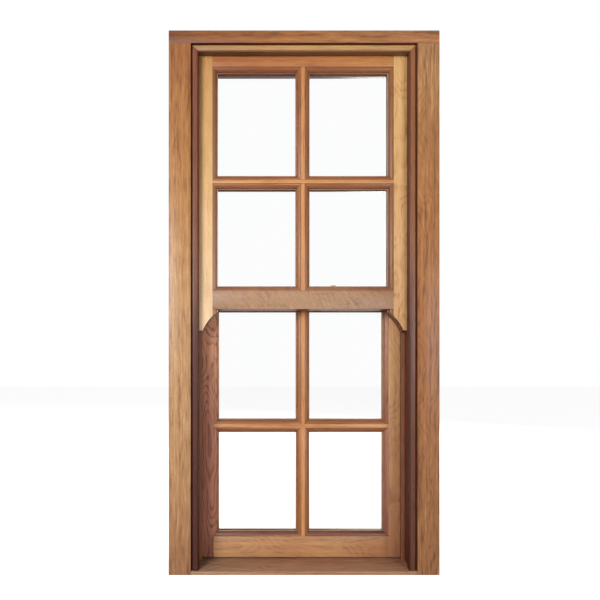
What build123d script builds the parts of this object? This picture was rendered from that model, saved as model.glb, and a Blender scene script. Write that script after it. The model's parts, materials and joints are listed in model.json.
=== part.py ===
from build123d import *
import math
import os

# A timber sash window: two sashes that slide past each other in a cased frame.
# Millimetres, +Z up. The origin is the middle of the underside of the frame, on the floor plane.
# Depths are counted from the outside face of the frame towards the room.

# Frame, seen from outside
frame_w = 895.0
frame_h = 1800.0
lining_face = 73.0
head_face = 41.0
jamb_w = 89.5
head_w = 55.0

# Boards of the boxed jambs and head
outer_lining_t = 26.0
inner_lining_t = 16.0
jamb_liner_t = 25.0
head_liner_t = 30.0
back_lining_t = 8.0

# Beads that guide the sashes
bead_setback = 4.0
bead_lap = 8.5
bead_round = 5.0
quirk_w = 5.5
quirk_d = 8.0
parting_t = 8.0
parting_proud = 13.0
parting_sunk = 10.0
staff_lap = 13.0
staff_round = 8.0

# Sill
sill_nose = 12.0
sill_slope_deg = 4.6

# Sashes
sash_t = 42.0
side_clear = 1.5
run_clear = 1.5
head_clear = 1.5
stile_w = 68.5
upper_sash_h = 860.0
upper_top_rail_w = 61.5
upper_meeting_rail_w = 78.0
upper_high_pane_h = 346.0
horn_len = 72.5
lower_sash_rest = 24.0
lower_meeting_rail_w = 81.0
lower_bottom_rail_w = 89.0
lower_low_pane_h = 345.0
lower_bar_shift = 7.0

# Section shared by stiles, rails and bars
mould_w = 17.0
mould_quirk = 2.0
mould_lip = 2.0
mould_drop = 11.0
bar_flat = 13.0
glass_depth = 14.0
glass_t = 4.0
rebate_w = 12.0
glass_edge_gap = 2.0
glass_groove_play = 0.5
bead_nib = 7.0
bead_splay = 5.0
bead_mitre_gap = 0.2
cut_over = 1.0

# Joints in the timber
tenon_t = 14.0
rail_tenon_len = 30.0
rail_tenon_margin = 10.0
bar_tenon_len = 12.0

# Horn curve, measured from the outer edge of the stile
horn_flat = 18.0
horn_step = 9.0
horn_bulge = 5.5

# Splayed joint between the two meeting rails
splay_gap = 1.0
splay_top = 6.5
splay_bottom = 9.5
splay_h = 60.0
splay_end_clear = 2.0

# Spring balances: a tube fixed to the frame, a rod fixed to the sash
groove_w = 18.0
groove_d = 19.0
tube_r = 7.5
tube_wall = 0.9
tube_off = 2.0
upper_tube_head_clear = 10.0
lower_tube_head_clear = 85.0
upper_foot_tube_clear = 48.0
lower_foot_tube_clear = 18.0
tube_spare = 50.0
bush_r = 8.0
bush_h = 4.0
bush_spigot = 10.0
bush_fit = 0.05
rod_r = 3.0
rod_fit = 0.1
rod_engaged = 40.0
rod_socket = 18.0
foot_w = 15.0
foot_boss_t = 17.0
foot_boss_h = 20.0
foot_plate_t = 5.0
foot_plate_h = 22.0
upper_foot_lift = 4.0
lower_foot_lift = 6.0
tube_screw_r = 2.0
tube_screw_fit = 0.1
tube_screw_head_r = 4.0
tube_screw_head_h = 1.6
tube_screw_bite = 18.0
tube_screw_drop = 12.0

# Sash fastener beside the upright bar: its lever on the lower meeting rail, its keeper on the upper one.
# Turned to locked, the lever's nose reaches under the keeper's hook in the gap between the sashes.
fastener_x = 110.0
base_w = 62.0
base_d = 24.0
base_t = 2.0
base_screw_x = 23.0
pivot_back = 20.0
boss_r = 9.0
boss_h = 0.85
pin_r = 3.0
pin_fit = 0.05
pin_head_r = 5.0
pin_head_h = 1.6
lever_t = 3.0
lever_hub_r = 9.0
lever_nose_r = 5.0
lever_sash_clear = 0.8
lever_tail = 25.0
lever_tail_r = 4.5
lever_arris = 0.6
knob_neck_r = 2.5
knob_neck_h = 1.0
knob_r = 6.0
knob_h = 3.5
knob_round = 1.5
keeper_w = 52.0
keeper_d = 20.0
keeper_t = 2.0
keeper_edge = 0.5
keeper_corner = 3.0
keeper_screw_x = 20.0
keeper_wall_t = 3.0
keeper_stop_clear = 0.6
keeper_lever_clear = 0.7
keeper_hook_d = 7.0
keeper_hook_t = 2.0
keeper_hook_w = 18.0
keeper_hook_round = 1.5

# Hook lifts on the bottom rail
lift_w = 28.0
lift_t = 3.0
lift_low = 66.0
lift_h = 34.0
lift_hook_r = 8.0
lift_lip = 10.0
lift_x = 150.0
lift_screws = (15.0, 27.0)

# Countersunk wood screws
screw_r = 1.7
screw_head_r = 3.6
screw_head_h = 2.0
screw_len = 14.0

# Places worked out from the sizes above
half_w = frame_w / 2
frame_d = outer_lining_t + 2 * (sash_t + 2 * run_clear) + parting_t + inner_lining_t
front = -frame_d / 2
back = frame_d / 2
lining_x = half_w - lining_face
track_x = half_w - jamb_w
lining_z = frame_h - head_face
soffit_z = frame_h - head_w
liner_front = front + outer_lining_t
liner_back = back - inner_lining_t
parting_front = liner_front + sash_t + 2 * run_clear
parting_back = parting_front + parting_t
upper_y = liner_front + run_clear
lower_y = parting_back + run_clear
sash_x = track_x - side_clear
sight_x = sash_x - stile_w
mould_x = sight_x + mould_w
bar_half = bar_flat / 2 + mould_w
outer_bead_x = track_x - bead_lap
parting_x = track_x - parting_proud
staff_x = track_x - staff_lap
sill_top = sill_nose + (liner_back - front) * math.tan(math.radians(sill_slope_deg))
upper_top = soffit_z - head_clear
upper_bottom = upper_top - upper_sash_h
meet_z = upper_bottom + upper_meeting_rail_w
horn_z = upper_bottom - horn_len
lower_bottom = lower_sash_rest
upper_sights = (meet_z, upper_top - upper_top_rail_w)
lower_sights = (lower_bottom + lower_bottom_rail_w, meet_z - lower_meeting_rail_w)
upper_bar_z = upper_sights[1] - upper_high_pane_h - bar_half
lower_bar_z = lower_sights[0] + lower_low_pane_h + bar_half

tube_x = track_x - tube_off - tube_r
groove_x = sash_x - groove_d
upper_back = upper_y + sash_t
lower_back = lower_y + sash_t
splay_x = parting_x - splay_end_clear

# A sash travels as far as its tubes allow, with the rod's end still held in the tube
foot_h = foot_plate_h + foot_boss_h
upper_foot_low = horn_z + upper_foot_lift
lower_foot_low = lower_bottom + lower_foot_lift
upper_tube_low = upper_foot_low + foot_h + upper_foot_tube_clear
upper_tube_top = soffit_z - upper_tube_head_clear
upper_travel = upper_tube_top - upper_tube_low - rod_engaged - tube_spare
lower_tube_top = soffit_z - lower_tube_head_clear
lower_run = lower_tube_top - lower_foot_low - foot_h - lower_foot_tube_clear
lower_travel = (lower_run - rod_engaged - tube_spare) / 2
lower_tube_low = lower_tube_top - lower_travel - rod_engaged - tube_spare
tube_runs = (
    (upper_y + sash_t / 2, upper_tube_low, upper_tube_top),
    (lower_y + sash_t / 2, lower_tube_low, lower_tube_top),
)

# The locked lever stops short of the upper sash, so that it is clear of it wherever the sashes stand
pivot_y = lower_y + pivot_back
lever_reach = pivot_y - upper_back - lever_sash_clear - lever_nose_r
keeper_back = upper_back + splay_top - splay_gap / 2 - keeper_edge
keeper_y = keeper_back - keeper_d / 2
boss_top = meet_z + base_t + boss_h
lever_z = boss_top + pin_fit

upward = (Align.CENTER, Align.CENTER, Align.MIN)
os.makedirs("parts", exist_ok=True)


def finish(piece, name):
    piece.part.label = name
    export_step(piece.part, f"parts/{name}.step")
    print(name, round(piece.part.volume))


def side_name(side):
    return "left" if side < 0 else "right"


def block(x0, x1, y0, y1, z0, z1, mode=Mode.ADD):
    """A squared length of timber between opposite corners, in whichever order they come."""
    with Locations(((x0 + x1) / 2, (y0 + y1) / 2, (z0 + z1) / 2)):
        Box(abs(x1 - x0), abs(y1 - y0), abs(z1 - z0), mode=mode)


def face_cut(points, y0, y1, mode=Mode.SUBTRACT):
    """A prism that runs from depth y0 to y1, with its outline drawn in elevation as (x, z)."""
    with BuildSketch(Plane.XZ.offset(-y1)) as outline:
        with BuildLine():
            Polyline(*points, close=True)
        make_face()
    extrude(outline.sketch, amount=y1 - y0, mode=mode)


# Frame: the sill and the boards of the cased jambs and head

with BuildPart() as sill:
    with BuildSketch(Plane.YZ.offset(-(half_w - back_lining_t))):
        with BuildLine():
            Polyline(
                (front, 0), (back, 0), (back, sill_top), (liner_back, sill_top), (front, sill_nose),
                close=True,
            )
        make_face()
    extrude(amount=2 * (half_w - back_lining_t))
    for side in (-1, 1):
        block(side * lining_x, side * half_w, front, liner_front, 0, sill_top, mode=Mode.SUBTRACT)
        block(side * lining_x, side * half_w, liner_back, back, 0, sill_top, mode=Mode.SUBTRACT)
finish(sill, "sill")

with BuildPart() as head_liner:
    block(-half_w + back_lining_t, half_w - back_lining_t, liner_front, liner_back,
          soffit_z, soffit_z + head_liner_t)
    block(-parting_x, parting_x, parting_front, parting_back,
          soffit_z, soffit_z + parting_sunk, mode=Mode.SUBTRACT)
finish(head_liner, "head_liner")

for place, y0, y1 in (("outer", front, liner_front), ("inner", liner_back, back)):
    with BuildPart() as lining_head:
        block(-half_w, half_w, y0, y1, lining_z, frame_h)
    finish(lining_head, f"{place}_lining_head")
    for side in (-1, 1):
        with BuildPart() as lining:
            block(side * lining_x, side * half_w, y0, y1, 0, lining_z)
        finish(lining, f"{place}_lining_{side_name(side)}")

for side in (-1, 1):
    with BuildPart() as jamb_liner:
        block(side * track_x, side * (track_x + jamb_liner_t), liner_front, liner_back, 0, soffit_z)
        block(side * track_x, side * (track_x + parting_sunk), parting_front, parting_back,
              0, soffit_z, mode=Mode.SUBTRACT)
        for tube_y, tube_low, tube_top in tube_runs:
            screw_z = tube_top - tube_screw_drop
            with Locations(Location((side * track_x, tube_y, screw_z), (0, side * 90, 0))):
                Cylinder(tube_screw_r, tube_screw_bite,
                         align=(Align.CENTER, Align.CENTER, Align.MIN), mode=Mode.SUBTRACT)
        add(sill.part, mode=Mode.SUBTRACT)
    finish(jamb_liner, f"jamb_liner_{side_name(side)}")

    with BuildPart() as back_lining:
        block(side * (half_w - back_lining_t), side * half_w, liner_front, liner_back,
              0, soffit_z + head_liner_t)
    finish(back_lining, f"back_lining_{side_name(side)}")


# Beads: each ring is one section, mitred at the corners


def outer_bead_section(edge, out):
    """Closed outline of the outer bead as (across, depth), from its inner face out to the lining."""
    lap = lining_x - outer_bead_x
    y0 = front + bead_setback

    def at(across, depth):
        return (edge + out * across, y0 + depth)

    Polyline(at(bead_round, 0), at(lap - quirk_w, 0), at(lap - quirk_w, quirk_d), at(lap, quirk_d),
             at(lap, liner_front - y0), at(0, liner_front - y0), at(0, bead_round))
    diagonal = bead_round * (1 - math.sqrt(0.5))
    ThreePointArc(at(0, bead_round), at(diagonal, diagonal), at(bead_round, 0))


def staff_bead_section(edge, out):
    """Closed outline of the staff bead, rounded on the edge that faces the room."""
    lap = lining_x - staff_x

    def at(across, depth):
        return (edge + out * across, back - depth)

    Polyline(at(staff_round, 0), at(lap, 0), at(lap, inner_lining_t), at(0, inner_lining_t),
             at(0, staff_round))
    diagonal = staff_round * (1 - math.sqrt(0.5))
    ThreePointArc(at(0, staff_round), at(diagonal, diagonal), at(staff_round, 0))


def upright_bead(section, side, edge_x, outer_x, z0, z1, mitre_low, mitre_high):
    """An upright bead, cut at 45 degrees at the ends that meet another bead of its ring."""
    lap = outer_x - edge_x
    with BuildPart() as bead:
        with BuildSketch(Plane.XY.offset(z0)):
            with BuildLine():
                section(side * edge_x, side)
            make_face()
        extrude(amount=z1 - z0)
        if mitre_high:
            face_cut(((side * edge_x, z1), (side * edge_x, z1 - lap), (side * outer_x, z1)), front, back)
        if mitre_low:
            face_cut(((side * edge_x, z0), (side * edge_x, z0 + lap), (side * outer_x, z0)), front, back)
        add(sill.part, mode=Mode.SUBTRACT)
    return bead


def level_bead(section, edge_z, out, edge_x, outer_x):
    """A level bead between the uprights of its ring, with both ends mitred."""
    lap = outer_x - edge_x
    with BuildPart() as bead:
        with BuildSketch(Plane.YZ.offset(-outer_x)):
            with BuildLine():
                section(edge_z, out)
            make_face()
        extrude(amount=2 * outer_x)
        for side in (-1, 1):
            face_cut(((side * edge_x, edge_z), (side * outer_x, edge_z + out * lap),
                      (side * outer_x, edge_z)), front, back)
    return bead


def turned(section):
    """The same outline drawn as (depth, height) for a level bead."""

    def swapped(edge, out):
        with BuildLine(mode=Mode.PRIVATE) as outline:
            section(edge, out)
        for edge_line in outline.edges():
            points = [edge_line.position_at(t) for t in (0, 0.5, 1)]
            flipped = [(p.Y, p.X) for p in points]
            if edge_line.geom_type == GeomType.LINE:
                Line(flipped[0], flipped[2])
            else:
                ThreePointArc(*flipped)

    return swapped


for side in (-1, 1):
    outer_bead = upright_bead(outer_bead_section, side, outer_bead_x, lining_x, 0, lining_z, False, True)
    finish(outer_bead, f"outer_bead_{side_name(side)}")
    staff_bead = upright_bead(staff_bead_section, side, staff_x, lining_x, sill_top, lining_z, True, True)
    finish(staff_bead, f"staff_bead_{side_name(side)}")

outer_head_z = lining_z - (lining_x - outer_bead_x)
outer_bead_head = level_bead(turned(outer_bead_section), outer_head_z, 1, outer_bead_x, lining_x)
finish(outer_bead_head, "outer_bead_head")

staff_head_z = lining_z - (lining_x - staff_x)
staff_bead_head = level_bead(turned(staff_bead_section), staff_head_z, 1, staff_x, lining_x)
finish(staff_bead_head, "staff_bead_head")

staff_sill_z = sill_top + (lining_x - staff_x)
staff_bead_sill = level_bead(turned(staff_bead_section), staff_sill_z, -1, staff_x, lining_x)
finish(staff_bead_sill, "staff_bead_sill")

for side in (-1, 1):
    with BuildPart() as parting_bead:
        block(side * parting_x, side * (track_x + parting_sunk), parting_front, parting_back, 0, soffit_z)
        add(sill.part, mode=Mode.SUBTRACT)
    finish(parting_bead, f"parting_bead_{side_name(side)}")

with BuildPart() as parting_bead_head:
    block(-parting_x, parting_x, parting_front, parting_back,
          soffit_z - parting_proud, soffit_z + parting_sunk)
finish(parting_bead_head, "parting_bead_head")


# Wood screws, turned to profile and placed by the head


def wood_screw():
    with BuildPart() as screw:
        with BuildSketch(Plane.XZ):
            with BuildLine():
                Polyline((0, 0), (screw_head_r, 0), (screw_r, -screw_head_h),
                         (screw_r, -screw_len), (0, -screw_len), close=True)
            make_face()
        revolve(axis=Axis.Z)
    return screw.part


def placed_screws(places):
    screw = wood_screw()
    with BuildPart() as group:
        with Locations(*places):
            add(screw)
    return group


def foot_screw_place(side, y0, low):
    return Location((side * (groove_x + foot_plate_t), y0 + sash_t / 2, low + foot_plate_h / 2),
                    (0, side * 90, 0))


upper_screws = placed_screws(
    [Location((fastener_x + off, keeper_y, meet_z + keeper_t)) for off in (-keeper_screw_x, keeper_screw_x)]
    + [foot_screw_place(side, upper_y, upper_foot_low) for side in (-1, 1)]
)
finish(upper_screws, "upper_screws")

lower_screws = placed_screws(
    [Location((fastener_x + off, pivot_y, meet_z + base_t)) for off in (-base_screw_x, base_screw_x)]
    + [foot_screw_place(side, lower_y, lower_foot_low) for side in (-1, 1)]
    + [Location((x, lower_back + lift_t, lift_low + up), (-90, 0, 0))
       for x in (-lift_x, lift_x) for up in lift_screws]
)
finish(lower_screws, "lower_screws")

# Spring balances, one in the groove of each stile

bush_places = []
rod_highs = (upper_tube_low + upper_travel + rod_engaged, lower_tube_low + rod_engaged)
foot_lows = (upper_foot_low, lower_foot_low)
for name, tube_run, foot_low, rod_high in zip(("upper", "lower"), tube_runs, foot_lows, rod_highs):
    axis_y, tube_low, tube_top = tube_run
    for side in (-1, 1):
        bush_places.append((side * tube_x, axis_y, tube_low))
        with BuildPart() as tube:
            with Locations((side * tube_x, axis_y, tube_low)):
                Cylinder(tube_r, tube_top - tube_low, align=upward)
                Cylinder(tube_r - tube_wall, tube_top - tube_low, align=upward, mode=Mode.SUBTRACT)
            with Locations(Location((side * tube_x, axis_y, tube_top - tube_screw_drop), (0, 90, 0))):
                Cylinder(tube_screw_r + tube_screw_fit, 2 * tube_r, mode=Mode.SUBTRACT)
        finish(tube, f"{name}_balance_tube_{side_name(side)}")

        rod_low = foot_low + foot_h - rod_socket
        with BuildPart() as rod:
            with Locations((side * tube_x, axis_y, rod_low)):
                Cylinder(rod_r, rod_high - rod_low, align=upward)
        finish(rod, f"{name}_balance_rod_{side_name(side)}")

        with BuildPart() as foot:
            block(side * groove_x, side * (groove_x + foot_plate_t), axis_y - foot_w / 2,
                  axis_y + foot_w / 2, foot_low, foot_low + foot_plate_h)
            block(side * groove_x, side * (groove_x + foot_boss_t), axis_y - foot_w / 2,
                  axis_y + foot_w / 2, foot_low + foot_plate_h, foot_low + foot_h)
            add(rod.part, mode=Mode.SUBTRACT)
            add(upper_screws.part if name == "upper" else lower_screws.part, mode=Mode.SUBTRACT)
        finish(foot, f"{name}_balance_foot_{side_name(side)}")

with BuildPart() as tube_bushes:
    with Locations(*bush_places):
        Cylinder(bush_r, bush_h, align=(Align.CENTER, Align.CENTER, Align.MAX))
        Cylinder(tube_r - tube_wall - bush_fit, bush_spigot, align=(Align.CENTER, Align.CENTER, Align.MIN))
        Cylinder(rod_r + rod_fit, 2 * (bush_h + bush_spigot), mode=Mode.SUBTRACT)
finish(tube_bushes, "tube_bushes")

with BuildPart() as tube_screws:
    for side in (-1, 1):
        for axis_y, tube_low, tube_top in tube_runs:
            screw_z = tube_top - tube_screw_drop
            with Locations(Location((side * (tube_x - tube_r), axis_y, screw_z), (0, side * 90, 0))):
                Cylinder(tube_screw_head_r, tube_screw_head_h,
                         align=(Align.CENTER, Align.CENTER, Align.MAX))
                Cylinder(tube_screw_r, 2 * tube_r + tube_off + tube_screw_bite,
                         align=(Align.CENTER, Align.CENTER, Align.MIN))
finish(tube_screws, "tube_screws")

# Sash fastener: a base with its riveted pivot, a lever that swings across, and a hooked keeper

with BuildPart() as fastener_base:
    with BuildSketch(Plane.XY.offset(meet_z)):
        with Locations((fastener_x, pivot_y)):
            SlotOverall(base_w, base_d)
    extrude(amount=base_t)
    with Locations((fastener_x, pivot_y, meet_z + base_t)):
        Cylinder(boss_r, boss_h, align=upward)
    with Locations((fastener_x, pivot_y, boss_top)):
        Cylinder(pin_r, lever_t + 2 * pin_fit, align=upward)
    with Locations((fastener_x, pivot_y, boss_top + lever_t + 2 * pin_fit)):
        Cylinder(pin_head_r, pin_head_h, align=upward)
    head_rim = fastener_base.edges().filter_by(GeomType.CIRCLE).group_by(Axis.Z)[-1]
    chamfer(head_rim, pin_head_h / 2)
    add(lower_screws.part, mode=Mode.SUBTRACT)
finish(fastener_base, "fastener_base")

with BuildPart() as fastener_lever:
    with BuildSketch(Plane.XY.offset(lever_z)):
        with Locations((fastener_x, pivot_y)):
            Circle(lever_hub_r)
        with Locations((fastener_x + lever_reach, pivot_y)):
            Circle(lever_nose_r)
        make_hull()
    extrude(amount=lever_t)
    with BuildSketch(Plane.XY.offset(lever_z)) as tail:
        with Locations((fastener_x, pivot_y)):
            Circle(lever_hub_r)
        with Locations((fastener_x - lever_tail, pivot_y)):
            Circle(lever_tail_r)
        make_hull()
    extrude(tail.sketch, amount=lever_t)
    chamfer(fastener_lever.edges().group_by(Axis.Z)[-1], lever_arris)
    with Locations((fastener_x - lever_tail, pivot_y, lever_z + lever_t)):
        Cylinder(knob_neck_r, knob_neck_h, align=upward)
    with Locations((fastener_x - lever_tail, pivot_y, lever_z + lever_t + knob_neck_h)):
        Cylinder(knob_r, knob_h, align=upward)
    fillet(fastener_lever.edges().filter_by(GeomType.CIRCLE).group_by(Axis.Z)[-1], knob_round)
    with Locations((fastener_x, pivot_y, lever_z)):
        Cylinder(pin_r + pin_fit, 2 * lever_t, mode=Mode.SUBTRACT)
finish(fastener_lever, "fastener_lever")

with BuildPart() as fastener_keeper:
    with BuildSketch(Plane.XY.offset(meet_z)):
        with Locations((fastener_x, keeper_y)):
            RectangleRounded(keeper_w, keeper_d, keeper_corner)
    extrude(amount=keeper_t)
    with BuildSketch(Plane.XZ.offset(-keeper_back)) as keeper_hook:
        wall_x = fastener_x - lever_nose_r - keeper_stop_clear - keeper_wall_t
        mouth_top = lever_z + lever_t + keeper_lever_clear
        with BuildLine():
            Polyline((wall_x, meet_z + keeper_t), (wall_x + keeper_wall_t, meet_z + keeper_t),
                     (wall_x + keeper_wall_t, mouth_top), (wall_x + keeper_hook_w, mouth_top),
                     (wall_x + keeper_hook_w, mouth_top + keeper_hook_t),
                     (wall_x, mouth_top + keeper_hook_t), close=True)
        make_face()
        fillet(keeper_hook.vertices().group_by(Axis.Z)[-1].sort_by(Axis.X)[0], keeper_hook_round)
    extrude(keeper_hook.sketch, amount=keeper_hook_d)
    add(upper_screws.part, mode=Mode.SUBTRACT)
finish(fastener_keeper, "fastener_keeper")

# Hook lifts, bent from flat bar and screwed to the room side of the bottom rail

for side in (-1, 1):
    with BuildPart() as lift:
        with BuildSketch(Plane.YZ.offset(side * lift_x - lift_w / 2)):
            with Locations((lower_back + lift_hook_r, lift_low)):
                Circle(lift_hook_r)
                Circle(lift_hook_r - lift_t, mode=Mode.SUBTRACT)
                Rectangle(2 * lift_hook_r, lift_hook_r, align=(Align.CENTER, Align.MIN), mode=Mode.SUBTRACT)
            with Locations((lower_back, lift_low)):
                Rectangle(lift_t, lift_h, align=(Align.MIN, Align.MIN))
            with Locations((lower_back + 2 * lift_hook_r, lift_low)):
                Rectangle(lift_t, lift_lip, align=(Align.MAX, Align.MIN))
        extrude(amount=lift_w)
        corners = lift.edges().filter_by(Axis.Y).group_by(Axis.Z)[-1]
        fillet(corners, lift_w / 4)
        add(lower_screws.part, mode=Mode.SUBTRACT)
    finish(lift, f"lift_{side_name(side)}")


# Sashes: every member has the same moulded edge, with a rebate behind it for the glass


def moulded_edge(at):
    """The moulded edge as open lines, from the quirk at the face to the sight line at the glass."""
    start, end = (mould_w, mould_quirk), (mould_lip, mould_drop)
    swell = math.sqrt(0.5)
    middle = (mould_w - (mould_w - mould_lip) * swell, mould_drop - (mould_drop - mould_quirk) * swell)
    ThreePointArc(at(*start), at(*middle), at(*end))
    Polyline(at(*end), at(0, mould_drop), at(0, glass_depth))
    Line(at(mould_w, 0), at(*start))


def stile_section(side, y0):
    """A stile cut across: moulded edge, rebate, and the groove for the balance in its outer edge."""

    def at(across, depth):
        return (side * (sight_x + across), y0 + depth)

    moulded_edge(at)
    low, high = (sash_t - groove_w) / 2, (sash_t + groove_w) / 2
    Polyline(at(0, glass_depth), at(rebate_w, glass_depth), at(rebate_w, sash_t), at(stile_w, sash_t),
             at(stile_w, high), at(stile_w - groove_d, high), at(stile_w - groove_d, low),
             at(stile_w, low), at(stile_w, 0), at(mould_w, 0))


def rail_section(sight_z, out, width, y0, grooved=False):
    """A rail cut across. The moulded edge lies at sight_z, and out says which way the wood goes."""

    def at(across, depth):
        return (y0 + depth, sight_z + out * across)

    moulded_edge(at)
    if grooved:
        glass_back = glass_depth + glass_t + glass_groove_play
        Polyline(at(0, glass_depth), at(rebate_w, glass_depth), at(rebate_w, glass_back),
                 at(0, glass_back), at(0, sash_t), at(width, sash_t), at(width, 0), at(mould_w, 0))
    else:
        Polyline(at(0, glass_depth), at(rebate_w, glass_depth), at(rebate_w, sash_t),
                 at(width, sash_t), at(width, 0), at(mould_w, 0))


def bar_section(centre, y0, upright):
    """A bar cut across: a flat fillet between two moulded edges, and a stem between the rebates."""
    for out in (-1, 1):

        def at(across, depth, out=out):
            place = centre - out * (bar_half - across)
            return (place, y0 + depth) if upright else (y0 + depth, place)

        moulded_edge(at)
        Polyline(at(0, glass_depth), at(rebate_w, glass_depth), at(rebate_w, sash_t),
                 at(bar_half, sash_t))
        Line(at(mould_w, 0), at(bar_half, 0))


def bar_notch(sight, centre, out, upright):
    """The mitred notch that a bar's end fills in a moulded edge, as (x, z) points."""
    outline = [(sight - out * cut_over, -bar_half), (sight, -bar_half),
               (sight + out * mould_w, -bar_flat / 2), (sight + out * mould_w, bar_flat / 2),
               (sight, bar_half), (sight - out * cut_over, bar_half)]
    return [(a, centre + b) if upright else (centre + b, a) for a, b in outline]


def rail_notch(side, sight_z, out, end_z):
    """What a rail takes out of a stile's moulded edge, from its mitre to its far edge."""
    return [(side * (sight_x - cut_over), sight_z), (side * sight_x, sight_z),
            (side * mould_x, sight_z + out * mould_w), (side * mould_x, end_z),
            (side * (sight_x - cut_over), end_z)]


def rail_tenon(side, y0, sight_z, out, end_z, mode=Mode.ADD):
    block(side * mould_x, side * (mould_x + rail_tenon_len), y0 + glass_depth, y0 + glass_depth + tenon_t,
          sight_z + out * (mould_w + rail_tenon_margin), end_z - out * rail_tenon_margin, mode=mode)


def sash_stile(side, y0, low, high, sights, ends, bar_z):
    """A stile with its groove, the mitres and mortises for both rails, and those for the bar."""
    with BuildPart() as stile:
        with BuildSketch(Plane.XY.offset(low)):
            with BuildLine():
                stile_section(side, y0)
            make_face()
        extrude(amount=high - low)
        for sight_z, end_z, out in zip(sights, ends, (-1, 1)):
            past_end = end_z + out * cut_over if end_z in (low, high) else end_z
            face_cut(rail_notch(side, sight_z, out, past_end), y0, y0 + sash_t)
            rail_tenon(side, y0, sight_z, out, end_z, mode=Mode.SUBTRACT)
        face_cut(bar_notch(side * sight_x, bar_z, side, True), y0, y0 + sash_t)
        block(side * mould_x, side * (mould_x + bar_tenon_len), y0 + glass_depth,
              y0 + glass_depth + tenon_t, bar_z - bar_flat / 2, bar_z + bar_flat / 2, mode=Mode.SUBTRACT)
    return stile


def sash_rail(y0, sight_z, end_z, out, bar_x, grooved=False):
    """A rail between the stiles, with mitred ends, stub tenons and the notch for the upright bar."""
    with BuildPart() as rail:
        with BuildSketch(Plane.YZ.offset(-mould_x)):
            with BuildLine():
                rail_section(sight_z, out, abs(end_z - sight_z), y0, grooved)
            make_face()
        extrude(amount=2 * mould_x)
        for side in (-1, 1):
            face_cut(((side * sight_x, sight_z), (side * mould_x, sight_z),
                      (side * mould_x, sight_z + out * mould_w)), y0, y0 + sash_t)
            rail_tenon(side, y0, sight_z, out, end_z)
        face_cut(bar_notch(sight_z, bar_x, out, False), y0, y0 + sash_t)
        block(bar_x - bar_flat / 2, bar_x + bar_flat / 2, y0 + glass_depth, y0 + glass_depth + tenon_t,
              sight_z + out * mould_w, sight_z + out * (mould_w + bar_tenon_len), mode=Mode.SUBTRACT)
    return rail


def bar_ends(centre, low, high, upright, y0):
    """Mitre both ends of a bar and leave the stub tenons standing."""
    for sight, out in ((low, -1), (high, 1)):
        for turn in (-1, 1):
            corner = [(sight, turn * bar_half), (sight + out * mould_w, turn * bar_half),
                      (sight + out * mould_w, turn * bar_flat / 2)]
            face_cut([(centre + b, a) if upright else (a, centre + b) for a, b in corner],
                     y0, y0 + sash_t)


def sash_bars(y0, sights, bar_x, bar_z):
    """The level bar runs through in front, the upright one behind it, halved where they cross."""
    halving_y = y0 + sash_t / 2
    tenon = (y0 + glass_depth, y0 + glass_depth + tenon_t)
    stem = bar_flat / 2
    with BuildPart() as level:
        with BuildSketch(Plane.YZ.offset(-mould_x)):
            with BuildLine():
                bar_section(bar_z, y0, False)
            make_face()
        extrude(amount=2 * mould_x)
        bar_ends(bar_z, -sight_x, sight_x, False, y0)
        for out in (-1, 1):
            face_cut(bar_notch(bar_z - out * -bar_half, bar_x, -out, False), y0, y0 + sash_t)
            block(out * mould_x, out * (mould_x + bar_tenon_len), *tenon, bar_z - stem, bar_z + stem)
        block(bar_x - stem, bar_x + stem, halving_y, y0 + sash_t, bar_z - stem, bar_z + stem,
              mode=Mode.SUBTRACT)
    low, high = sights[0] - mould_w, sights[1] + mould_w
    with BuildPart() as upright:
        with BuildSketch(Plane.XY.offset(low)):
            with BuildLine():
                bar_section(bar_x, y0, True)
            make_face()
        extrude(amount=high - low)
        bar_ends(bar_x, sights[0], sights[1], True, y0)
        face_cut([(bar_x - bar_half, bar_z - bar_half), (bar_x - stem, bar_z - stem),
                  (bar_x - stem, bar_z + stem), (bar_x - bar_half, bar_z + bar_half)], y0, y0 + sash_t)
        face_cut([(bar_x + bar_half, bar_z - bar_half), (bar_x + stem, bar_z - stem),
                  (bar_x + stem, bar_z + stem), (bar_x + bar_half, bar_z + bar_half)], y0, y0 + sash_t)
        block(bar_x - stem, bar_x + stem, y0, halving_y, bar_z - stem, bar_z + stem, mode=Mode.SUBTRACT)
        for sight, out in ((sights[0], -1), (sights[1], 1)):
            block(bar_x - stem, bar_x + stem, *tenon,
                  sight + out * mould_w, sight + out * (mould_w + bar_tenon_len))
    return level, upright


def pane_openings(sights, bar_x, bar_z):
    """The four sight rectangles of a sash as (x0, x1, z0, z1), the two lower ones first."""
    rows = ((sights[0], bar_z - bar_half), (bar_z + bar_half, sights[1]))
    columns = ((-sight_x, bar_x - bar_half), (bar_x + bar_half, sight_x))
    return [(*column, *row) for row in rows for column in columns]


def glazing_strip(y0, sight, out, start, end, upright, mitres):
    """One glazing bead in the rebate behind the glass. Its mitred ends reach to the rebate's corners."""
    y_glass = y0 + glass_depth + glass_t
    low = start - rebate_w if mitres[0] else start
    high = end + rebate_w if mitres[1] else end

    def at(across, y):
        return (sight + out * across, y) if upright else (y, sight + out * across)

    with BuildPart() as strip:
        with BuildSketch(Plane.XY.offset(low) if upright else Plane.YZ.offset(low)):
            with BuildLine():
                Polyline(at(0, y_glass), at(0, y_glass + bead_nib), at(bead_splay, y0 + sash_t),
                         at(rebate_w, y0 + sash_t), at(rebate_w, y_glass), close=True)
            make_face()
        extrude(amount=high - low)
        for place, way, mitred in ((start, -1, mitres[0]), (end, 1, mitres[1])):
            if mitred:
                inset = place - way * bead_mitre_gap / 2
                tip = inset + way * rebate_w
                corner = [(sight - out * cut_over, inset - way * cut_over), (sight + out * rebate_w, tip),
                          (sight + out * rebate_w, tip + way * cut_over),
                          (sight - out * cut_over, tip + way * cut_over)]
                face_cut([(a, b) if upright else (b, a) for a, b in corner], y_glass, y0 + sash_t)
    return strip.part


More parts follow.
